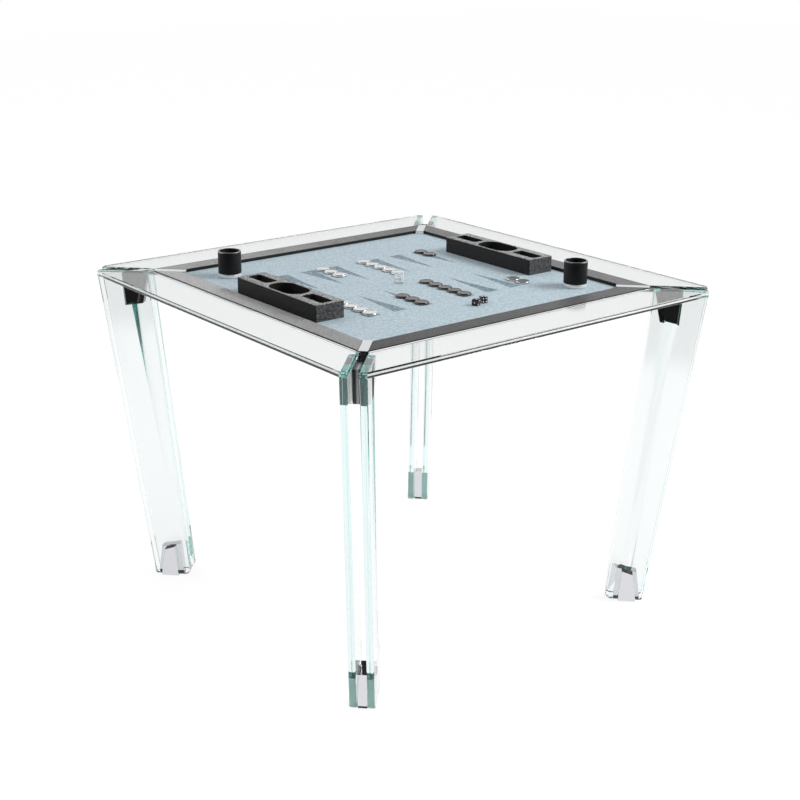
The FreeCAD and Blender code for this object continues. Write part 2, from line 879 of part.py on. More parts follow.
def make_checkers(label, side, number, count):
    bevel = size["checker_bevel"]
    start = point_base_reach - checker_pitch / 2
    body = make_revolved(label, point_center(number), start * side, (
        (0, 0),
        (checker_radius - bevel, 0),
        (checker_radius, bevel),
        (checker_radius, size["checker_thickness"] - bevel),
        (checker_radius - bevel, size["checker_thickness"]),
        (0, size["checker_thickness"]),
    ))
    pattern_along(body, body.Tip, "Y_Axis", side > 0, checker_pitch, count)


for end, side in (("back", 1), ("front", -1)):
    for place, number in POINT_NUMBERS.items():
        colour = "dark" if place in DARK_PLACES[end] else "white"
        make_checkers("checkers_%s_%s_%s" % (colour, end, place), side, number,
                      size[place + "_point_count"])


# Check the document and write one file for each sub-part

doc.recompute()
for item in doc.Objects:
    if "Invalid" in item.State or "Error" in item.State:
        raise RuntimeError("%s did not build: %s" % (item.Label, item.State))
for body in nodes:
    if body.Shape.isNull() or not body.Shape.isValid() or not body.Shape.Solids:
        raise RuntimeError("%s has no valid solid" % body.Label)

os.makedirs("parts", exist_ok=True)
for body in nodes:
    body.Shape.exportStep("parts/%s.step" % body.Label)
    print("%-32s %d solids, %.1f cm3" % (body.Label, len(body.Shape.Solids),
                                         body.Shape.Volume / CUBIC_MM_PER_CM))
print("%d sub-parts" % len(nodes))
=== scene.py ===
import json
import math

import bmesh
import bpy
from mathutils import Matrix, Vector


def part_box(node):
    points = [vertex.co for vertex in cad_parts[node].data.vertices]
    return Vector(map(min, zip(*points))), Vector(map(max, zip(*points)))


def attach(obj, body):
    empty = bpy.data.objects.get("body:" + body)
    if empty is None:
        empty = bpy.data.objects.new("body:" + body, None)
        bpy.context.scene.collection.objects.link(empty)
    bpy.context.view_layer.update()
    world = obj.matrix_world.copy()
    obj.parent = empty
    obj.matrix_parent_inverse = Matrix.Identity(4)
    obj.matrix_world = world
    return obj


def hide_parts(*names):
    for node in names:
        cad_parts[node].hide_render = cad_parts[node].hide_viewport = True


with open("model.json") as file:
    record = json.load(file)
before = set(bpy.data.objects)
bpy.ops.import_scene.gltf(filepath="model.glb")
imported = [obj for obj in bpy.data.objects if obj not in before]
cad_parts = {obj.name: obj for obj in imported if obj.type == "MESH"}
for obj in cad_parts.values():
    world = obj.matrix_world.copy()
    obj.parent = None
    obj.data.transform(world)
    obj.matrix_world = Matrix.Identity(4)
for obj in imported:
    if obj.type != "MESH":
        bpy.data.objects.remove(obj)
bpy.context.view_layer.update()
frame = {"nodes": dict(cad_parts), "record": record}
nodes = frame["nodes"]

CORNERS = ("front_left", "front_right", "back_right", "back_left")
SIDES = ("front", "right", "back", "left")
HANDS = ("left", "right")
MM = 0.001

# Levels of the field and of the top of the glass, and how far from the middle the outer faces of
# the glass panels and of the board begin, in metres
FIELD_LEVEL = 0.7485
GLASS_LEVEL = 0.755
PANEL_REACH = 0.49
BOARD_REACH = 0.395

# Direction in which the photograph looks, in plan
LOOK = (0.6228, 0.7824, 0.0)

# Values between which a noise mostly stays, and between which it nearly always stays
INNER_SPAN = (0.3, 0.7)
WIDE_SPAN = (0.2, 0.8)


# Shader building blocks

class Shade:
    """A material or world whose nodes are added one at a time."""

    def __init__(self, owner, output):
        self.owner = owner
        owner.use_nodes = True
        self.tree = owner.node_tree
        self.tree.nodes.clear()
        self.output = self.node(output)

    def node(self, kind, **settings):
        made = self.tree.nodes.new("ShaderNode" + kind)
        for key, value in settings.items():
            setattr(made, key, value)
        return made

    def link(self, source, target):
        self.tree.links.new(source, target)

    def feed(self, socket, value):
        """Links a socket, or sets it where a plain value is given."""
        if isinstance(value, bpy.types.NodeSocket):
            self.link(value, socket)
        else:
            socket.default_value = value

    def principled(self, **inputs):
        shader = self.node("BsdfPrincipled")
        for key, value in inputs.items():
            self.feed(shader.inputs[key.replace("_", " ")], value)
        return shader

    def math(self, operation, first, second=0.0, clamp=False):
        made = self.node("Math", operation=operation, use_clamp=clamp)
        self.feed(made.inputs[0], first)
        self.feed(made.inputs[1], second)
        return made.outputs[0]

    def product(self, *factors):
        result = factors[0]
        for factor in factors[1:]:
            result = self.math("MULTIPLY", result, factor)
        return result

    def absolute(self, value):
        return self.math("ABSOLUTE", value)

    def inverse(self, share):
        """What a share leaves of the whole."""
        return self.math("SUBTRACT", 1.0, share)

    def near(self, value, target, margin):
        """1 where a value is within a margin of a target, 0 elsewhere."""
        made = self.math("COMPARE", value, target)
        made.node.inputs[2].default_value = margin
        return made

    def vector(self, operation, first, second):
        made = self.node("VectorMath", operation=operation)
        self.feed(made.inputs[0], first)
        self.feed(made.inputs[1], second)
        return made.outputs["Value" if operation == "DOT_PRODUCT" else "Vector"]

    def split(self, vector):
        made = self.node("SeparateXYZ")
        self.link(vector, made.inputs[0])
        return made.outputs

    def noise(self, vector, scale, detail=3.0, roughness=0.55):
        made = self.node("TexNoise")
        self.link(vector, made.inputs["Vector"])
        made.inputs["Scale"].default_value = scale
        made.inputs["Detail"].default_value = detail
        made.inputs["Roughness"].default_value = roughness
        return made.outputs["Fac"]

    def cells(self, vector, scale, feature="F1"):
        made = self.node("TexVoronoi", feature=feature)
        self.link(vector, made.inputs["Vector"])
        made.inputs["Scale"].default_value = scale
        return made.outputs["Distance"]

    def ramp(self, value, low, high, start=0.0, end=1.0):
        made = self.node("MapRange")
        self.feed(made.inputs["Value"], value)
        made.inputs["From Min"].default_value = low
        made.inputs["From Max"].default_value = high
        made.inputs["To Min"].default_value = start
        made.inputs["To Max"].default_value = end
        return made.outputs["Result"]

    def between(self, share, start, end):
        """Goes from start to end as a share goes from 0 to 1."""
        return self.ramp(share, 0.0, 1.0, start, end)

    def blend(self, factor, first, second):
        """A mix of two colours."""
        made = self.node("Mix", data_type="RGBA")
        self.feed(made.inputs[0], factor)
        self.feed(made.inputs[6], first)
        self.feed(made.inputs[7], second)
        return made.outputs[2]

    def bump(self, height, distance, strength=1.0):
        made = self.node("Bump")
        made.inputs["Strength"].default_value = strength
        made.inputs["Distance"].default_value = distance
        self.link(height, made.inputs["Height"])
        return made.outputs["Normal"]

    def mix(self, factor, first, second):
        """A mix of two shaders."""
        made = self.node("MixShader")
        self.link(factor, made.inputs[0])
        self.link(first.outputs[0], made.inputs[1])
        self.link(second.outputs[0], made.inputs[2])
        return made

    def place(self):
        """Object coordinates in metres."""
        return self.node("TexCoord").outputs["Object"]

    def facing(self):
        """The direction that the surface faces, in three parts."""
        return self.split(self.node("TexCoord").outputs["Normal"])

    def plan(self):
        """Where a spot lies in plan, and its distances from the table's two middle planes."""
        x, y, _ = self.split(self.place())
        return x, y, self.absolute(x), self.absolute(y)

    def nearest_side(self):
        """Place along the nearest side, distance from the middle, and 1 at the left and right."""
        x, y, reach_x, reach_y = self.plan()
        beside = self.math("GREATER_THAN", reach_x, reach_y)
        return self.blend(beside, x, y), self.math("MAXIMUM", reach_x, reach_y), beside

    def narrow_ends(self):
        """1 on faces of a corner's plates that look along their diagonal, 0 on the others."""
        x, y, _, _ = self.plan()
        across, along, _ = self.facing()
        corner = self.math("SIGN", self.product(x, y))
        return self.ramp(self.product(across, along, corner), 0.0, 0.3)

    def outer_sides(self, reach):
        """1 on upright faces beyond a distance from the middle and under the glass's top."""
        _, furthest, _ = self.nearest_side()
        upright = self.ramp(self.absolute(self.facing()[2]), 0.05, 0.15, 1.0, 0.0)
        lower = self.math("LESS_THAN", self.split(self.place())[2], GLASS_LEVEL)
        return self.product(upright, lower, self.math("GREATER_THAN", furthest, reach))

    def finish(self, shader):
        self.link(shader.outputs[0], self.output.inputs["Surface"])
        return self.owner

    def finish_clear(self, shader):
        """Glass that lets the light of lamps through."""
        shadow = self.node("LightPath").outputs["Is Shadow Ray"]
        return self.finish(self.mix(shadow, shader, self.node("BsdfTransparent")))


def material(name):
    return Shade(bpy.data.materials.new(name), "OutputMaterial")


def opaque(red, green, blue):
    return (red, green, blue, 1.0)


def grey(value):
    return opaque(value, value, value)


# Materials

GLASS_TINT = opaque(0.12, 0.71, 0.68)
FOOT_METAL = opaque(0.68, 0.68, 0.71)


def finish_glass(shade, colour, clear, tint, density):
    """Glass that is clear by a share and whose depth takes on a tint."""
    shader = shade.principled(Base_Color=colour, Roughness=0.0, IOR=1.5,
                              Transmission_Weight=clear)
    absorb = shade.node("VolumeAbsorption")
    absorb.inputs["Color"].default_value = tint
    absorb.inputs["Density"].default_value = density
    shade.link(absorb.outputs[0], shade.output.inputs["Volume"])
    return shade.finish_clear(shader)


def clear_glass(name, tone, tint, density):
    return finish_glass(material(name), grey(tone), 1.0, tint, density)


def panel_look():
    """Clear glass with lightly ground edges; its dark arrises and lines are painted reflections.
    """
    # Line and arris tones are painted dark reflections; the pale arris tone is a painted highlight
    tone, edge_tone, painted_line_tone, painted_arris_tone, painted_highlight_tone = 0.905, 1.0, 0.006, 0.008, 0.4
    ground_clearness, density = 0.2, 1.9
    # Along a side, the ground part ends short of its corners between these places
    far_fade, near_fade = (0.42, 0.45), (-0.482, -0.478)
    # The painted dark lines lie below and above these levels; on the left only the lower one is
    # there
    lower_fade, upper_fade, left_lift = (0.7477, 0.7481), (0.7516, 0.752), 0.001
    middle_level = 0.75
    # How far straight edges may turn, and how far up arrises face
    turn_limit, slant, slant_margin = 0.05, 0.7, 0.2

    shade = material("panel_glass_look")
    along, reach, _ = shade.nearest_side()
    x, _, level = shade.split(shade.place())
    across, forward, up = (shade.absolute(part) for part in shade.facing())
    straight = shade.math("LESS_THAN", shade.math("MINIMUM", across, forward), turn_limit)
    middle = shade.product(shade.ramp(along, *far_fade, start=1.0, end=0.0),
                           shade.ramp(along, *near_fade))
    outer = shade.math("GREATER_THAN", reach, PANEL_REACH)
    outer_ends = shade.product(outer, shade.inverse(middle))
    painted_arris = shade.product(shade.near(up, slant, slant_margin), straight,
                          shade.inverse(outer_ends))
    edge = shade.product(shade.outer_sides(PANEL_REACH), straight)
    ground = shade.product(edge, middle)
    left = shade.math("LESS_THAN", x, -PANEL_REACH)
    lowered = shade.math("SUBTRACT", level, shade.between(left, 0.0, left_lift))
    lines = shade.math("MAXIMUM", shade.ramp(lowered, *lower_fade, start=1.0, end=0.0),
                       shade.math("SUBTRACT", shade.ramp(level, *upper_fade), left))
    painted_arris_highlight = shade.product(left, shade.math("GREATER_THAN", level, middle_level))
    colour = shade.blend(edge, grey(tone), grey(edge_tone))
    # Painted reflections: two dark lines on the ground edges and dark arrises, one lighter at
    # upper left
    colour = shade.blend(shade.product(ground, lines), colour, grey(painted_line_tone))
    colour = shade.blend(painted_arris, colour, shade.between(painted_arris_highlight, painted_arris_tone, painted_highlight_tone))
    clear = shade.between(ground, 1.0, ground_clearness)
    return finish_glass(shade, colour, clear, GLASS_TINT, density)


def mirror_polish(shade):
    """Roughness with faint smears and a bump of fine scratches."""
    place = shade.place()
    rough = shade.ramp(shade.noise(place, 60.0, detail=4.0), *INNER_SPAN, start=0.02, end=0.07)
    scratches = shade.noise(place, 900.0, detail=2.0)
    return rough, shade.bump(scratches, 0.02 * MM, strength=0.15)


def polished_metal(name, colour):
    shade = material(name)
    rough, normal = mirror_polish(shade)
    return shade.finish(shade.principled(Base_Color=colour, Metallic=1.0, Roughness=rough,
                                         Normal=normal))


def foot_face_look():
    """Polished faces with matt ends painted pale teal, standing in for light seen through glass.
    """
    shade = material("foot_face_look")
    # The pale teal of the ends is painted light, as the glass edges show them lit
    painted_end_colour, end_roughness = opaque(0.55, 0.85, 0.8), 0.6
    rough, normal = mirror_polish(shade)
    painted_lit_ends = shade.narrow_ends()
    rough = shade.math("ADD", rough, shade.product(painted_lit_ends, end_roughness))
    return shade.finish(shade.principled(Base_Color=shade.blend(painted_lit_ends, FOOT_METAL, painted_end_colour),
                                         Metallic=shade.inverse(painted_lit_ends), Roughness=rough,
                                         Normal=normal))


def bracket_look():
    """Dark ground metal with fine vertical lines and a painted reflection band down its middle."""
    shade = material("dark_metal_look")
    reflection_band_fade = (0.0015, 0.0055)
    brushing = (420.0, 420.0, 12.0)
    lines = shade.noise(shade.vector("MULTIPLY", shade.place(), brushing), 1.0)
    _, _, reach_x, reach_y = shade.plan()
    aside = shade.absolute(shade.math("SUBTRACT", reach_x, reach_y))
    dark = shade.blend(lines, opaque(0.03, 0.03, 0.032), opaque(0.09, 0.09, 0.095))
    painted_reflection_band = shade.blend(lines, opaque(0.2, 0.2, 0.21), opaque(0.6, 0.6, 0.61))
    # The bright band down the middle is a painted reflection
    colour = shade.blend(shade.ramp(aside, *reflection_band_fade, start=1.0, end=0.0), dark, painted_reflection_band)
    rough = shade.ramp(lines, *WIDE_SPAN, start=0.16, end=0.3)
    return shade.finish(shade.principled(Base_Color=colour, Metallic=1.0, Roughness=rough,
                                         Normal=shade.bump(lines, 0.06 * MM, strength=0.4)))


def fine_grain(shade):
    """A grain for matt surfaces and its bump."""
    grain = shade.noise(shade.place(), 1400.0)
    return grain, shade.bump(grain, 0.06 * MM, strength=0.4)


def grained(name, value, roughness):
    """A surface of one grey, from black to white, with a fine grain."""
    shade = material(name)
    grain, normal = fine_grain(shade)
    colour = shade.blend(grain, grey(value * 0.6), grey(value * 1.5))
    return shade.finish(shade.principled(Base_Color=colour, Roughness=roughness, Normal=normal))


def pad_look():
    """Black rubber whose narrow ends are painted pale teal, as seen lit through the glass edges.
    """
    shade = material("bonding_pad_look")
    grain, normal = fine_grain(shade)
    sides = shade.blend(grain, grey(0.003), grey(0.008))
    # Painted light: the ends are pale teal, as they look lit through the glass edges
    painted_lit_ends = shade.blend(grain, opaque(0.2, 0.36, 0.34), opaque(0.28, 0.48, 0.45))
    return shade.finish(shade.principled(Base_Color=shade.blend(shade.narrow_ends(), sides, painted_lit_ends),
                                         Roughness=0.6, Specular_IOR_Level=0.2, Normal=normal))


def board_look():
    """Dark satin metal underneath, polished along its edges."""
    shade = material("board_look")
    brushing = (1500.0, 60.0, 1500.0)
    edge_tone, edge_roughness_share = 0.9, 0.1
    lines = shade.noise(shade.vector("MULTIPLY", shade.place(), brushing), 1.0, detail=4.0)
    edges = shade.outer_sides(BOARD_REACH)
    rough = shade.product(shade.ramp(lines, *WIDE_SPAN, start=0.28, end=0.42),
                          shade.between(edges, 1.0, edge_roughness_share))
    underside = shade.blend(lines, grey(0.02), grey(0.035))
    return shade.finish(shade.principled(Base_Color=shade.blend(edges, underside, grey(edge_tone)),
                                         Metallic=1.0, Roughness=rough))


def brushed_metal(name, colour, roughness, brushing, metal=1.0):
    shade = material(name)
    lines = shade.noise(shade.vector("MULTIPLY", shade.place(), brushing), 1.0, detail=4.0)
    darker = opaque(*(part * 0.8 for part in colour[:3]))
    rough = shade.ramp(lines, *WIDE_SPAN, start=roughness * 0.8, end=roughness * 1.2)
    return shade.finish(shade.principled(Base_Color=shade.blend(lines, darker, colour),
                                         Metallic=metal, Roughness=rough,
                                         Normal=shade.bump(lines, 0.03 * MM, strength=0.3)))


def border_leather():
    """Dark grey hide with fine ribs across each strip, pale specks with a painted sheen; metal
    back.
    """
    # Ribs in radians per metre, how far in metres they wander, and how high they stand
    rib_rate, rib_wander, rib_height = 1200.0, 0.002, 1.5
    # Heights of the grain between which the pale specks set in, which carry the painted sheen
    sheen_speck_fade = (1.25, 1.85)
    # Strength of the painted sheen at both ends of each strip, from the left or from the front
    strip_ends = (-0.39, 0.39)
    sheen_by_strip = {"front": (0.2, 0.4), "back": (1.1, 0.42), "left": (0.9, 1.8), "right": (0.56, 0.56)}
    brightest = (0.95, 0.95, 0.95)
    # Reach at which the top ends and the dark outer rim begins
    rim_fade, rim_tone = (0.3966, 0.3972), 0.006
    back_tone, back_roughness_share = 0.9, 0.05

    shade = material("border_leather_look")
    place = shade.place()
    x, y, _, _ = shade.plan()
    along, reach, beside = shade.nearest_side()
    uneven = shade.noise(place, 330.0, roughness=0.7)
    wavy = shade.math("ADD", along, shade.product(uneven, rib_wander))
    ribs = shade.ramp(shade.math("SINE", shade.product(wavy, rib_rate)), -1.0, 1.0, 0.0,
                      rib_height)
    cells = shade.ramp(shade.cells(place, 300.0), 0.0, 0.6, 0.6, 0.0)
    height = shade.math("ADD", ribs, shade.math("ADD", uneven, cells))
    broad = shade.noise(place, 22.0)
    dark = shade.blend(broad, grey(0.02), grey(0.05))
    pale = shade.blend(broad, grey(0.6), grey(0.86))
    # Pale specks where the grain stands high carry a painted sheen
    colour = shade.blend(shade.ramp(height, *sheen_speck_fade), dark, pale)
    front, back = (shade.ramp(x, *strip_ends, *sheen_by_strip[side]) for side in ("front", "back"))
    left, right = (shade.ramp(y, *strip_ends, *sheen_by_strip[side]) for side in ("left", "right"))
    # Painted sheen: each strip's top made lighter or darker by side and along its length
    painted_sheen = shade.blend(beside, shade.blend(shade.math("GREATER_THAN", y, 0.0), front, back),
                        shade.blend(shade.math("GREATER_THAN", x, 0.0), left, right))
    colour = shade.vector("MINIMUM", shade.vector("MULTIPLY", colour, painted_sheen), brightest)
    # Only the tops carry the grain and its painted sheen; the sides and outer rim are near black
    top = shade.product(shade.ramp(shade.facing()[2], 0.3, 0.9),
                        shade.ramp(reach, *rim_fade, start=1.0, end=0.0))
    backs = shade.outer_sides(BOARD_REACH)
    colour = shade.blend(backs, shade.blend(top, grey(rim_tone), colour), grey(back_tone))
    rough = shade.product(shade.ramp(uneven, *INNER_SPAN, start=0.34, end=0.5),
                          shade.between(backs, 1.0, back_roughness_share))
    relief = shade.product(height, shade.inverse(backs))
    return shade.finish(shade.principled(Base_Color=colour, Metallic=backs, Roughness=rough,
                                         Specular_IOR_Level=0.35,
                                         Normal=shade.bump(relief, 0.2 * MM, strength=0.6)))


def hide(name, dark, pale, scale, depth, roughness, broad=60.0, contrast=0.18, painted_sheen=None,
         gloss=0.5):
    """Leather: cell grain under fine noise, slow changes of tone, and painted sheen specks on top.
    """
    fine_weight, crease_width, crease_depth = 0.65, 0.12, 0.6
    speck_scale, speck_fade = 560.0, (0.44, 0.59)

    shade = material(name)
    place = shade.place()
    wander = shade.noise(place, broad)
    fine = shade.noise(place, scale * 0.8, roughness=0.7)
    cells = shade.ramp(shade.cells(place, scale), 0.0, 0.7, 1.0, 0.0)
    creases = shade.ramp(shade.cells(place, scale * 0.45, "DISTANCE_TO_EDGE"), 0.0, crease_width,
                         -crease_depth, 0.0)
    height = shade.math("ADD", cells, shade.math("ADD", shade.product(fine, 0.6), creases))
    tone = shade.math("ADD", shade.product(wander, 1.0 - fine_weight),
                      shade.product(fine, fine_weight))
    colour = shade.blend(shade.ramp(tone, 0.5 - contrast, 0.5 + contrast), dark, pale)
    if painted_sheen:
        # Painted sheen: pale specks on faces that look up, and fainter ones on faces that look to
        # the front
        specks = shade.ramp(shade.noise(place, speck_scale, detail=2.0, roughness=0.8),
                            *speck_fade)
        _, back, up = shade.facing()
        lit_faces = shade.math("MAXIMUM", shade.ramp(up, 0.4, 0.9, 0.05, 1.0),
                             shade.ramp(back, -0.5, -0.9, 0.0, 0.22))
        colour = shade.blend(shade.product(specks, lit_faces), colour, painted_sheen)
    rough = shade.ramp(fine, *INNER_SPAN, start=roughness * 0.85, end=roughness * 1.1)
    return shade.finish(shade.principled(Base_Color=colour, Specular_IOR_Level=gloss,
                                         Roughness=rough,
                                         Normal=shade.bump(height, depth, strength=0.7)))


def turned_metal(name, dark, pale, roughness, metal=1.0):
    """Polished game piece of metal with faint turning marks and soft stains."""
    shade = material(name)
    place = shade.place()
    stain = shade.noise(place, 240.0)
    marks = shade.noise(place, 1500.0, detail=2.0)
    rough = shade.ramp(stain, *INNER_SPAN, start=roughness * 0.8, end=roughness * 1.25)
    return shade.finish(shade.principled(Base_Color=shade.blend(stain, dark, pale),
                                         Metallic=metal, Roughness=rough,
                                         Normal=shade.bump(marks, 0.02 * MM, strength=0.25)))


leg_glass = clear_glass("leg_glass_look", 0.96, GLASS_TINT, density=2.0)
crystal = clear_glass("crystal_look", 1.0, opaque(0.6, 0.9, 0.95), density=1.0)
ground_crystal = grained("ground_crystal_look", 0.8, roughness=0.25)
foot_metal = polished_metal("foot_metal_look", FOOT_METAL)
foot_face = foot_face_look()
pip_white = grained("pip_look", 0.75, roughness=0.4)
frosted = grained("frosted_look", 0.8, roughness=0.5)
suede = grained("suede_look", 0.006, roughness=0.95)
thread = grained("thread_look", 0.03, roughness=0.7)
# Near black band of painted shade on the lower edge of each checker
checker_shade_band = grained("checker_shade_band_look", 0.01, roughness=0.3)
rim_steel = brushed_metal("rim_steel_look", opaque(0.34, 0.35, 0.36), 0.08,
                          brushing=(60.0, 60.0, 3000.0))
line_leather = hide("line_leather_look", opaque(0.30, 0.39, 0.43), opaque(0.40, 0.49, 0.53),
                    scale=700.0, depth=0.1 * MM, roughness=0.7)

# The look of each material slot
slot_looks = {
    "clear_glass": panel_look(),
    "polished_metal": polished_metal("polished_metal_look", opaque(0.86, 0.87, 0.88)),
    "black_metal": bracket_look(),
    "black_pad": pad_look(),
    "black_rubber": grained("rubber_look", 0.012, roughness=0.8),
    "stud_steel": brushed_metal("stud_look", opaque(0.55, 0.56, 0.58), 0.3,
                                brushing=(300.0, 300.0, 2500.0)),
    "board_metal": board_look(),
    "border_leather": border_leather(),
    "field_leather": hide("field_leather_look", opaque(0.36, 0.46, 0.52),
                          opaque(0.61, 0.72, 0.78), scale=520.0, depth=0.12 * MM, roughness=0.7,
                          broad=170.0, contrast=0.09),
    "point_leather": hide("point_leather_look", opaque(0.06, 0.11, 0.14),
                          opaque(0.40, 0.51, 0.58), scale=300.0, depth=0.3 * MM, roughness=0.6,
                          broad=300.0, contrast=0.12),
    "tray_leather": hide("black_leather_look", opaque(0.0025, 0.0025, 0.003),
                         opaque(0.013, 0.013, 0.015), scale=560.0, depth=0.35 * MM,
                         roughness=0.55, contrast=0.14, painted_sheen=grey(0.75), gloss=0.12),
    "cup_leather": hide("cup_leather_look", opaque(0.002, 0.002, 0.0024),
                        opaque(0.009, 0.009, 0.01), scale=560.0, depth=0.35 * MM, roughness=0.5,
                        contrast=0.14, gloss=0.25),
    "cup_steel": brushed_metal("cup_steel_look", opaque(0.93, 0.95, 0.98), 0.25,
                               brushing=(60.0, 60.0, 3000.0), metal=0.45),
    "die_black": grained("die_look", 0.008, roughness=0.12),
    "clear_crystal": crystal,
    "checker_white": turned_metal("silver_checker_look", opaque(0.82, 0.82, 0.83),
                                  opaque(0.93, 0.93, 0.93), 0.14, metal=0.8),
    "checker_dark": turned_metal("gunmetal_checker_look", opaque(0.12, 0.113, 0.11),
                                 opaque(0.19, 0.18, 0.175), 0.2),
}
node_slots = {part["node"]: part["material_slot"] for part in frame["record"]["subparts"]}
for name, obj in nodes.items():
    obj.data.materials.clear()
    obj.data.materials.append(slot_looks[node_slots[name]])

# Pieces at the floor and the legs look a little unlike the others of their slot
nodes["foot_faces"].data.materials[0] = foot_face
for corner in CORNERS:
    nodes["foot_block_" + corner].data.materials[0] = foot_metal
    for hand in HANDS:
        nodes["leg_plate_%s_%s" % (corner, hand)].data.materials[0] = leg_glass


# Bonded faces: leg plates reach into their neighbours by a hair, and what lies behind glass or
# leather stands back a little

def swell(obj, amount):
    weld = obj.modifiers.new("weld", "WELD")
    weld.merge_threshold = 0.000001
    push = obj.modifiers.new("push", "DISPLACE")
    push.strength = amount
    push.mid_level = 0.0


swell_mm = {"bracket_pads": -0.5, "base_board": -0.1}
for side in SIDES:
    swell_mm["border_strip_" + side] = -0.15
for corner in CORNERS:
    for hand in HANDS:
        swell_mm["leg_plate_%s_%s" % (corner, hand)] = 0.05
for name, amount in swell_mm.items():
    swell(nodes[name], amount * MM)


# Mesh building blocks

def place_mesh(name, mesh, sharp):
    """Puts a mesh in the scene, smooth up to an angle in degrees."""
    mesh.shade_smooth()
    mesh.set_sharp_from_angle(angle=math.radians(sharp))
    piece = bpy.data.objects.new(name, mesh)
    bpy.context.scene.collection.objects.link(piece)
    return piece


def new_piece(name, vertices, faces, materials, sharp=30, face_looks=None):
    """An object from plain lists, with a number for the material of each face."""
    mesh = bpy.data.meshes.new(name)
    mesh.from_pydata([tuple(v) for v in vertices], [], faces)
    mesh.update()
    for look in materials:
        mesh.materials.append(look)
    if face_looks:
        mesh.polygons.foreach_set("material_index", face_looks)
    return place_mesh(name, mesh, sharp)


def settle(piece, body, slot, *replaced):
    """Attaches a piece to what it rides on and hides the parts it stands for; slot is not used."""
    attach(piece, body)
    if replaced:
        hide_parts(*replaced)


def node_middle(name):
    """Middle of a node in plan, and its lowest level."""
    low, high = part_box(name)
    return Vector(((low[0] + high[0]) / 2, (low[1] + high[1]) / 2, low[2]))


def lathe(profile, place, segments, ring=False):
    """Points and faces of a profile of (radius, height) pairs in mm, turned about a vertical."""
    vertices = []
    loops = []
    for radius, height in profile:
        base = len(vertices)
        count = segments if radius > 0 else 1
        for step in range(count):
            angle = 2 * math.pi * step / segments
            vertices.append(place + Vector((radius * math.cos(angle), radius * math.sin(angle),
                                            height)) * MM)
        loops.append([base + step % count for step in range(segments)])
    faces = []
    pairs = list(zip(loops, loops[1:]))
    if ring:
        pairs.append((loops[-1], loops[0]))
    for lower, upper in pairs:
        for step in range(segments):
            after = (step + 1) % segments
            face = []
            for corner in (lower[step], lower[after], upper[after], upper[step]):
                if corner not in face:
                    face.append(corner)
            faces.append(face)
    return vertices, faces


def gather(parts):
    """Joins several lists of points and faces into one."""
    vertices, faces = [], []
    for some_vertices, some_faces in parts:
        base = len(vertices)
        vertices += some_vertices
        faces += [[base + corner for corner in face] for face in some_faces]
    return vertices, faces


def arc(center_r, center_z, radius, start, end, steps):
    """Profile points along an arc, angles in degrees from the outward direction."""
    points = []
    for step in range(steps + 1):
        angle = math.radians(start + (end - start) * step / steps)
        points.append((center_r + radius * math.cos(angle), center_z + radius * math.sin(angle)))
    return points


# Checkers: turned discs with a rounded edge, a raised ring and a shallow dished middle

def checker_profile(radius, height):
    """Half the outline of a disc in mm, from its underside round to the middle of its dish."""
    edge = 1.9
    dish = ((3.6, 0.0), (4.1, 0.16), (4.9, 0.2), (8, 0.26), (radius, 0.3))
    points = [(0, 0)]
    points += arc(radius - edge, edge, edge, -90, 0, 4)
    points += arc(radius - edge, height - edge, edge, 0, 90, 4)
    return points + [(radius - inset, height - depth) for inset, depth in dish]


def make_checkers(name, look, slot):
    """Discs with a metal cap and a band of painted shade round their lower edge."""
    gap, shade_band_height, segments = 0.5 * MM, 1.7 * MM, 40
    low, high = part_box(name)
    radius = (high[0] - low[0]) / 2
    x = (low[0] + high[0]) / 2
    height = (high[2] - low[2]) / MM
    count = round((high[1] - low[1]) / (2 * radius + gap))
    profile = checker_profile(radius / MM, height)
    discs = []
    for number in range(count):
        share = number / (count - 1)
        y = low[1] + radius + share * (high[1] - low[1] - 2 * radius)
        discs.append(lathe(profile, Vector((x, y, low[2])), segments))
    vertices, faces = gather(discs)
    # Faces below this level take the band of painted shade
    shade_band_top = low[2] + shade_band_height
    looks = [int(max(vertices[corner].z for corner in face) < shade_band_top) for face in faces]
    piece = new_piece(name + "_turned", vertices, faces, [look, checker_shade_band], 50, looks)
    settle(piece, name, slot, name)


for name in sorted(nodes):
    if name.startswith("checkers_"):
        slot = node_slots[name]
        make_checkers(name, slot_looks[slot], slot)


# Dice and doubling cube

PIPS = {
    1: ((0, 0),),
    2: ((-1, -1), (1, 1)),
    3: ((-1, -1), (0, 0), (1, 1)),
    4: ((-1, -1), (1, -1), (-1, 1), (1, 1)),
    5: ((-1, -1), (1, -1), (0, 0), (-1, 1), (1, 1)),
    6: ((-1, -1), (1, -1), (-1, 0), (1, 0), (-1, 1), (1, 1)),
}


def face_turns():
    """Turns that carry the upper face to each of a cube's six faces, opposite ones in pairs."""
    return (Matrix.Identity(4), Matrix.Rotation(math.pi, 4, "X"),
            Matrix.Rotation(math.pi / 2, 4, "X"), Matrix.Rotation(-math.pi / 2, 4, "X"),
            Matrix.Rotation(math.pi / 2, 4, "Y"), Matrix.Rotation(-math.pi / 2, 4, "Y"))


def rounded_cube(width, bevel, segments):
    shape = bmesh.new()
    bmesh.ops.create_cube(shape, size=width)
    bmesh.ops.bevel(shape, geom=list(shape.edges), offset=bevel, segments=segments, profile=0.5,
                    affect="EDGES")
    shape.verts.index_update()
    vertices = [vert.co.copy() for vert in shape.verts]
    faces = [[vert.index for vert in face.verts] for face in shape.faces]
    shape.free()
    return vertices, faces


def cube_place(name, turn):
    """Width of a node's cube, and the place and turn of its middle."""
    low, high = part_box(name)
    width = high[2] - low[2]
    place = Matrix.Translation(node_middle(name) + Vector((0, 0, width / 2)))
    return width, place @ Matrix.Rotation(math.radians(turn), 4, "Z")


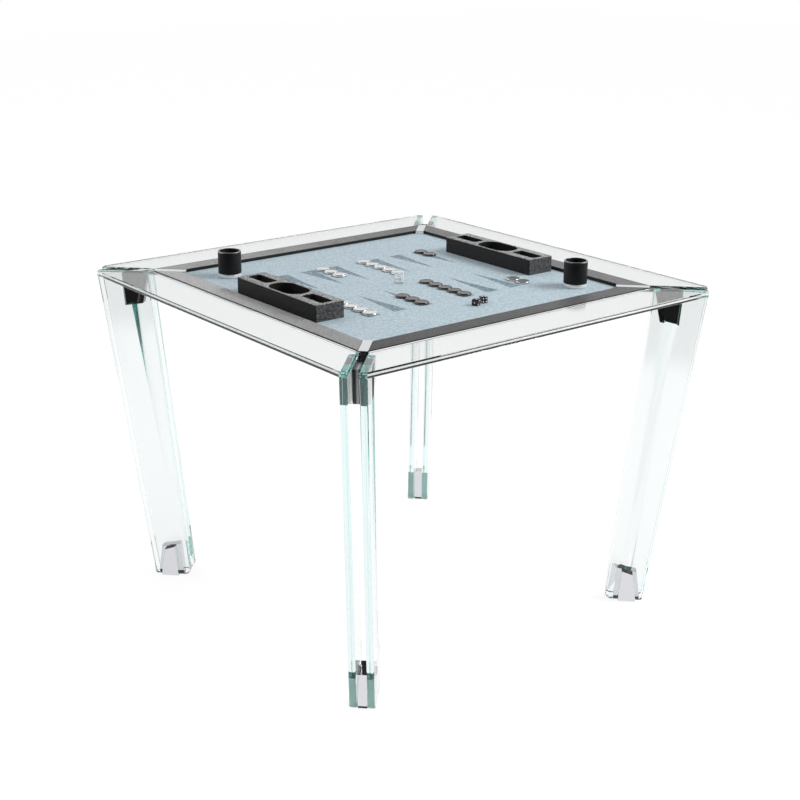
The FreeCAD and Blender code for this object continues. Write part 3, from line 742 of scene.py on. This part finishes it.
def make_die(name, turn, numbers):
    """A cube with pips, each a low dome of two rings; opposite numbers add up to seven."""
    bevel, pip_radius_share, pip_spacing_share, sides = 1.3 * MM, 0.105, 0.25, 12
    rings = ((1.0, 0.01 * MM), (0.7, 0.06 * MM))
    width, place = cube_place(name, turn)
    vertices, faces = rounded_cube(width, bevel, 4)
    looks = [0] * len(faces)
    spacing = width * pip_spacing_share
    for turned, number in zip(face_turns(), numbers):
        for across, along in PIPS[number]:
            middle = Vector((across * spacing, along * spacing, width / 2))
            base = len(vertices)
            for ring, rise in rings:
                for step in range(sides):
                    angle = 2 * math.pi * step / sides
                    spot = Vector((math.cos(angle), math.sin(angle), 0))
                    spot *= width * pip_radius_share * ring
                    vertices.append(turned @ (middle + spot + Vector((0, 0, rise))))
            for step in range(sides):
                after = (step + 1) % sides
                faces.append([base + step, base + after, base + sides + after,
                              base + sides + step])
            faces.append([base + sides + step for step in range(sides)])
            looks += [1] * (sides + 1)
    vertices = [place @ vert for vert in vertices]
    piece = new_piece(name + "_moulded", vertices, faces, [slot_looks["die_black"], pip_white],
                      40, looks)
    settle(piece, name, "die_black", name)


make_die("die_first", 20, (3, 4, 2, 5, 6, 1))
make_die("die_second", -12, (6, 1, 4, 3, 5, 2))


def flat_face(vertices, face, width):
    """Whether a face lies in one of the cube's six sides."""
    tolerance = 0.01 * MM
    return any(all(abs(abs(vertices[corner][axis]) - width / 2) < tolerance for corner in face)
               for axis in range(3))


def make_doubling_cube():
    """A clear cube with ground edges and a raised frosted number on each side."""
    name = "doubling_cube"
    turn, bevel, number_share, number_rise = 47, 1.8 * MM, 0.5, 0.12 * MM
    width, place = cube_place(name, turn)
    vertices, faces = rounded_cube(width, bevel, 2)
    looks = [0 if flat_face(vertices, face, width) else 1 for face in faces]
    piece = new_piece(name + "_cut", [place @ vert for vert in vertices], faces,
                      [crystal, ground_crystal], 40, looks)
    settle(piece, name, "clear_crystal", name)
    marks = []
    for turned, number in zip(face_turns(), (64, 2, 32, 4, 16, 8)):
        curve = bpy.data.curves.new("number", "FONT")
        curve.body = str(number)
        curve.size = width * number_share
        curve.align_x = "CENTER"
        curve.align_y = "CENTER"
        curve.extrude = number_rise
        curve.resolution_u = 3
        letter = bpy.data.objects.new("number", curve)
        mesh = bpy.data.meshes.new_from_object(letter)
        lift = Matrix.Translation((0, 0, width / 2))
        spots = [place @ turned @ lift @ vert.co for vert in mesh.vertices]
        marks.append((spots, [list(face.vertices) for face in mesh.polygons]))
        bpy.data.objects.remove(letter)
        bpy.data.meshes.remove(mesh)
        bpy.data.curves.remove(curve)
    vertices, faces = gather(marks)
    settle(new_piece("doubling_cube_numbers", vertices, faces, [frosted], 30), name,
           "clear_crystal")


make_doubling_cube()


# Dice cups: a foot with a shadow groove, a leather body with a sewn seam and a thin steel rim

# Radii and levels in mm, the levels above the field
CUP_RADIUS, CUP_BORE, CUP_TOP = 26.0, 22.5, 59.0
CUP_FOOT_TOP, CUP_FLOOR, CUP_RIM_FOOT = 9.0, 12.0, CUP_TOP - 2.0


def cup_profiles():
    """Half outlines in mm of a cup's foot, body and rim, parted by fine shadow gaps."""
    radius, bore, top = CUP_RADIUS, CUP_BORE, CUP_TOP
    gap, sole_inset, lower_round, upper_round = 0.1, 2.4, 0.8, 0.6
    hem, lip, floor_round = 0.7, 0.5, 1.4
    flange = 1.0
    foot_top, body_top = CUP_FOOT_TOP - gap, CUP_RIM_FOOT - gap
    foot = [(0, 0), (radius - sole_inset, 0), (radius - sole_inset + 2 * gap, flange - gap),
            (radius - lower_round, flange)]
    foot += arc(radius - lower_round, flange + lower_round, lower_round, -90, 0, 2)
    foot += arc(radius - upper_round, foot_top - upper_round, upper_round, 0, 90, 2)
    foot += [(0, foot_top)]
    body = [(0, CUP_FOOT_TOP)] + arc(radius - hem, CUP_FOOT_TOP + gap + hem, hem, -90, 0, 3)
    body += arc(radius - hem, body_top - hem, hem, 0, 90, 3)
    body += arc(bore + lip, body_top - lip, lip, 90, 180, 2)
    body += [(bore, CUP_FLOOR + floor_round)]
    body += arc(bore - floor_round, CUP_FLOOR + floor_round, floor_round, 0, -90, 3)
    body += [(0, CUP_FLOOR)]
    rim = arc(radius - lip, top - lip, lip, 0, 90, 3) + arc(bore + lip, top - lip, lip, 90, 180, 3)
    rim += [(bore, CUP_RIM_FOOT), (radius, CUP_RIM_FOOT)]
    return foot, body, rim


def make_cup(hand):
    """A cup of three turned parts, with two rows of slanting stitches along its seam."""
    seam_angle, seam_half, seam_foot, pitch, count, lean = 70, 0.045, 12.2, 3.0, 15, 0.3
    segments = 72
    place = node_middle("cup_%s_foot" % hand)
    foot, body, rim = cup_profiles()
    for part, profile, look, slot, ring in (
            ("foot", foot, slot_looks["cup_steel"], "cup_steel", False),
            ("body", body, slot_looks["cup_leather"], "cup_leather", False),
            ("rim", rim, rim_steel, "cup_steel", True)):
        name = "cup_%s_%s" % (hand, part)
        vertices, faces = lathe(profile, place, segments, ring)
        settle(new_piece(name + "_turned", vertices, faces, [look], 40), "cup_" + hand, slot, name)
    stitches = []
    for step in range(count):
        for sign in (-1, 1):
            angle = math.radians(seam_angle) + sign * seam_half
            outward = Vector((math.cos(angle), math.sin(angle), 0))
            level = Vector((0, 0, seam_foot + step * pitch))
            slant = Vector((-outward.y * lean * sign, outward.x * lean * sign, 1))
            stitches.append(stitch(place + (outward * CUP_RADIUS + level) * MM, slant, outward))
    vertices, faces = gather(stitches)
    settle(new_piece("cup_%s_stitches" % hand, vertices, faces, [thread], 60), "cup_" + hand,
           "cup_leather")


def stitch(middle, along, outward, length=2.0 * MM, thickness=0.32 * MM):
    """One short bead of thread with tapered ends, half sunk in the leather."""
    sides, rings = 6, ((-0.5, 0.35), (-0.25, 1.0), (0.25, 1.0), (0.5, 0.35))
    along = along.normalized()
    side = outward.cross(along).normalized()
    vertices = []
    for place_share, thickness_share in rings:
        reach = thickness * thickness_share
        for corner in range(sides):
            angle = 2 * math.pi * corner / sides
            vertices.append(middle + along * length * place_share
                            + side * math.cos(angle) * reach + outward * math.sin(angle) * reach)
    last = len(vertices) - sides
    faces = [list(reversed(range(sides))), list(range(last, last + sides))]
    for base in range(0, last, sides):
        for corner in range(sides):
            after = (corner + 1) % sides
            faces.append([base + corner, base + after, base + sides + after,
                          base + sides + corner])
    return vertices, faces


for hand in HANDS:
    make_cup(hand)


# Piece trays: leather boxes with rounded edges, suede-lined wells and a sewn line round the top

def rounded_rectangle(width, length, radius, steps=6):
    """Points of a rounded rectangle in plan, anticlockwise, in mm."""
    points = []
    for number, (side_x, side_y) in enumerate(((1, 1), (-1, 1), (-1, -1), (1, -1))):
        middle = (side_x * (width / 2 - radius), side_y * (length / 2 - radius))
        for step in range(steps + 1):
            angle = math.pi / 2 * (number + step / steps)
            points.append((middle[0] + radius * math.cos(angle),
                           middle[1] + radius * math.sin(angle)))
    return points


# Width, length and corner radius of a tray and its wells in mm, and levels above the field
TRAY = (71.0, 293.0, 3.0)
LARGE_WELL = (61.0, 108.0, 30.4)
SMALL_WELL = (32.0, 73.0, 7.0)
WELL_GAP = 10.0
WELL_FLOOR = 8.05
TRAY_TOP = 36.0


def make_tray(hand):
    """A covered box with three lined wells and a line of stitches near its upper edge."""
    least_radius, edge, lip = 0.3, 1.4, 0.7
    # Insets and levels of the cover from the bottom up, then down the lip and the lining of a well
    cover = ((0.8, 0.0), (0.0, 0.8), (0.0, TRAY_TOP - edge), (0.2, TRAY_TOP - 0.7),
             (0.7, TRAY_TOP - 0.2), (edge, TRAY_TOP))
    well_lip = ((0.0, TRAY_TOP), (0.3, TRAY_TOP - 0.1), (0.6, TRAY_TOP - 0.5),
                (lip, TRAY_TOP - 1.2))
    well_lining = ((lip, 9.5), (1.1, 8.4), (2.2, WELL_FLOOR))
    name = "tray_" + hand
    place = node_middle(name)
    shape = bmesh.new()

    def loop(outline, inset, level, center=0.0):
        width, length, radius = outline
        spots = rounded_rectangle(width - 2 * inset, length - 2 * inset,
                                  max(radius - inset, least_radius))
        return [shape.verts.new(place + Vector((x, y + center, level)) * MM) for x, y in spots]

    def wall(loops, look):
        for lower, upper in zip(loops, loops[1:]):
            for step in range(len(lower)):
                after = (step + 1) % len(lower)
                face = shape.faces.new((lower[step], lower[after], upper[after], upper[step]))
                face.material_index = look

    outer_loops = [loop(TRAY, inset, level) for inset, level in cover]
    wall(outer_loops, 0)
    shape.faces.new(list(reversed(outer_loops[0])))
    small_center = (LARGE_WELL[1] + SMALL_WELL[1]) / 2 + WELL_GAP
    rims = [outer_loops[-1]]
    for well, center in ((LARGE_WELL, 0.0), (SMALL_WELL, small_center),
                         (SMALL_WELL, -small_center)):
        lip_loops = [loop(well, inset, level, center) for inset, level in well_lip]
        wall(list(reversed(lip_loops)), 0)
        lining = [lip_loops[-1]] + [loop(well, inset, level, center)
                                    for inset, level in well_lining]
        wall(list(reversed(lining)), 1)
        shape.faces.new(lining[-1]).material_index = 1
        rims.append(lip_loops[0])
    edges = []
    for rim in rims:
        for step in range(len(rim)):
            edges.append(shape.edges.get((rim[step], rim[(step + 1) % len(rim)])))
    filled = bmesh.ops.triangle_fill(shape, edges=edges, use_beauty=True, use_dissolve=False,
                                     normal=(0, 0, 1))
    for face in filled["geom"]:
        if isinstance(face, bmesh.types.BMFace) and face.normal.z < 0:
            face.normal_flip()
    mesh = bpy.data.meshes.new(name + "_covered")
    shape.to_mesh(mesh)
    shape.free()
    mesh.materials.append(slot_looks["tray_leather"])
    mesh.materials.append(suede)
    settle(place_mesh(name + "_covered", mesh, 35), name, "tray_leather", name)
    seam_inset, seam_radius, seam_pitch = 3.2, 2.5, 3.2 * MM
    seam_length, seam_thickness = 2.2 * MM, 0.28 * MM
    spots = rounded_rectangle(TRAY[0] - 2 * seam_inset, TRAY[1] - 2 * seam_inset, seam_radius, 3)
    spots = [place + Vector((x, y, TRAY_TOP)) * MM for x, y in spots]
    stitches = []
    for start, finish in zip(spots, spots[1:] + spots[:1]):
        span = finish - start
        count = int(span.length / seam_pitch)
        for step in range(count):
            middle = start + span * ((step + 0.5) / count)
            stitches.append(stitch(middle, span, Vector((0, 0, 1)), seam_length, seam_thickness))
    vertices, faces = gather(stitches)
    settle(new_piece(name + "_stitches", vertices, faces, [thread], 60), name, "tray_leather")


for hand in HANDS:
    make_tray(hand)


# Playing field: fine pressed outlines of the pale points

def make_outlines():
    """Outlines of every second point on each half, in mm: even ones behind, odd ones in front."""
    pitch, side_gap, bar_gap, base_y, tip_y, line_width = 34.4, 0.6, 49.0, 195.0, 44.0, 0.32
    points, middle = 12, 5.5
    half = pitch / 2 - side_gap
    lines = []
    for side, first in ((1, 0), (-1, 1)):
        for number in range(first, points, 2):
            x = pitch * (number - middle) + math.copysign(bar_gap / 2, number - middle)
            left, right = (x - half, base_y * side), (x + half, base_y * side)
            tip = (x, tip_y * side)
            for start, finish in ((left, tip), (tip, right), (right, left)):
                lines.append(ribbon(start, finish, line_width))
    vertices, faces = gather(lines)
    piece = new_piece("point_outlines", vertices, faces, [line_leather], 30)
    settle(piece, "table", "field_leather")


def ribbon(start, finish, width):
    """A thin strip with sloping sides, pressed on the leather between two plan points in mm."""
    foot, crown = -0.02 * MM, 0.04 * MM
    start, finish = (Vector((x, y, 0)) * MM for x, y in (start, finish))
    side = (finish - start).cross(Vector((0, 0, 1))).normalized() * width * MM
    vertices = []
    for end in (start, finish):
        for share, rise in ((-1, foot), (-0.5, crown), (0.5, crown), (1, foot)):
            vertices.append(end + side * share + Vector((0, 0, FIELD_LEVEL + rise)))
    faces = [[step + 4, step + 5, step + 1, step] for step in range(3)]
    return vertices, faces


make_outlines()


# Floor, lamps, world and camera

def ray_kinds(shade):
    """1 for rays straight from the camera, and 1 for those by way of metal or glass."""
    path = shade.node("LightPath")
    mirrored = shade.math("ADD", path.outputs["Is Glossy Ray"],
                          path.outputs["Is Transmission Ray"], clamp=True)
    return path.outputs["Is Camera Ray"], mirrored


def make_floor():
    """White paper to the eye; in metal and glass it ends before the photographer."""
    half = 14.0
    paper_end = (-2.1, -1.8)
    corners = [(-half, -half, 0), (half, -half, 0), (half, half, 0), (-half, half, 0)]
    shade = material("floor_look")
    camera, mirrored = ray_kinds(shade)
    matt, shaded, dim = (shade.node("BsdfDiffuse") for _ in range(3))
    for diffuse, value in ((matt, 0.8), (shaded, 0.22), (dim, 0.03)):
        diffuse.inputs["Color"].default_value = grey(value)
    glow = shade.node("Emission")
    glow.inputs["Strength"].default_value = 0.86
    paper = shade.node("AddShader")
    shade.link(shaded.outputs[0], paper.inputs[0])
    shade.link(glow.outputs[0], paper.inputs[1])
    depth = shade.vector("DOT_PRODUCT", shade.place(), LOOK)
    in_mirrors = shade.mix(shade.ramp(depth, *paper_end), dim, paper)
    unseen = shade.mix(mirrored, matt, in_mirrors)
    look = shade.finish(shade.mix(camera, unseen, paper))
    floor = new_piece("floor", corners, [(0, 1, 2, 3)], [look])


def make_world():
    """Even light; metal and glass see a white backdrop behind the table and a dark room above."""
    shade = Shade(bpy.data.worlds.new("studio"), "OutputWorld")
    bpy.context.scene.world = shade.owner
    camera, mirrored = ray_kinds(shade)
    ray = shade.node("TexCoord").outputs["Generated"]
    rise = shade.split(ray)[2]
    # Straight behind the photographer the backdrop ends at the floor, elsewhere high up
    behind, backdrop_top, soft_edge = (-0.75, -0.45), (-0.05, 0.43), (-0.05, 0.06)
    limit = shade.ramp(shade.vector("DOT_PRODUCT", ray, LOOK), *behind, *backdrop_top)
    dark = shade.ramp(shade.math("SUBTRACT", rise, limit), *soft_edge)
    soft, white, backdrop, room = (shade.node("Background") for _ in range(4))
    for light, value, strength in ((soft, 1.0, 0.6), (white, 1.0, 1.0), (backdrop, 1.0, 0.8),
                                   (room, 0.02, 1.0)):
        light.inputs["Color"].default_value = grey(value)
        light.inputs["Strength"].default_value = strength
    inner = shade.mix(mirrored, soft, shade.mix(dark, backdrop, room))
    shade.finish(shade.mix(camera, inner, white))


def area_lamp(name, place, target, size, power):
    data = bpy.data.lights.new(name, "AREA")
    data.shape = "SQUARE"
    data.size = size
    data.energy = power
    lamp = bpy.data.objects.new(name, data)
    lamp.location = place
    aim = Vector(target) - Vector(place)
    lamp.rotation_euler = aim.to_track_quat("-Z", "Y").to_euler()
    bpy.context.scene.collection.objects.link(lamp)


def make_camera():
    """The photograph's own viewpoint, solved from the straight edges of the table."""
    place = (-1.9515, -2.463, 1.559)
    yaw, pitch, roll = (math.radians(angle) for angle in (38.524, 19.15, 0.354))
    forward = Vector((math.sin(yaw) * math.cos(pitch), math.cos(yaw) * math.cos(pitch),
                      -math.sin(pitch)))
    level = Vector((math.cos(yaw), -math.sin(yaw), 0.0))
    rise = level.cross(forward)
    right = level * math.cos(roll) + rise * math.sin(roll)
    up = rise * math.cos(roll) - level * math.sin(roll)
    data = bpy.data.cameras.new("camera")
    data.lens = 65.28
    data.sensor_width = 36.0
    data.clip_start = 0.05
    data.clip_end = 60.0
    camera = bpy.data.objects.new("camera", data)
    turn = Matrix((right, up, -forward)).transposed()
    camera.matrix_world = Matrix.Translation(place) @ turn.to_4x4()
    bpy.context.scene.collection.objects.link(camera)
    bpy.context.scene.camera = camera


make_floor()
make_world()
table_middle = (0, 0, 0.7)
area_lamp("key_lamp", (2.5, -2.0, 3.0), table_middle, size=1.6, power=98)
area_lamp("fill_lamp", (-2.2, 2.4, 2.8), table_middle, size=2.4, power=22)
make_camera()

# Enough bounces for light that passes many panes of glass
cycles = bpy.context.scene.cycles
cycles.glossy_bounces = 64
cycles.transmission_bounces = 64
cycles.max_bounces = 96
bpy.context.scene.view_settings.view_transform = "Standard"
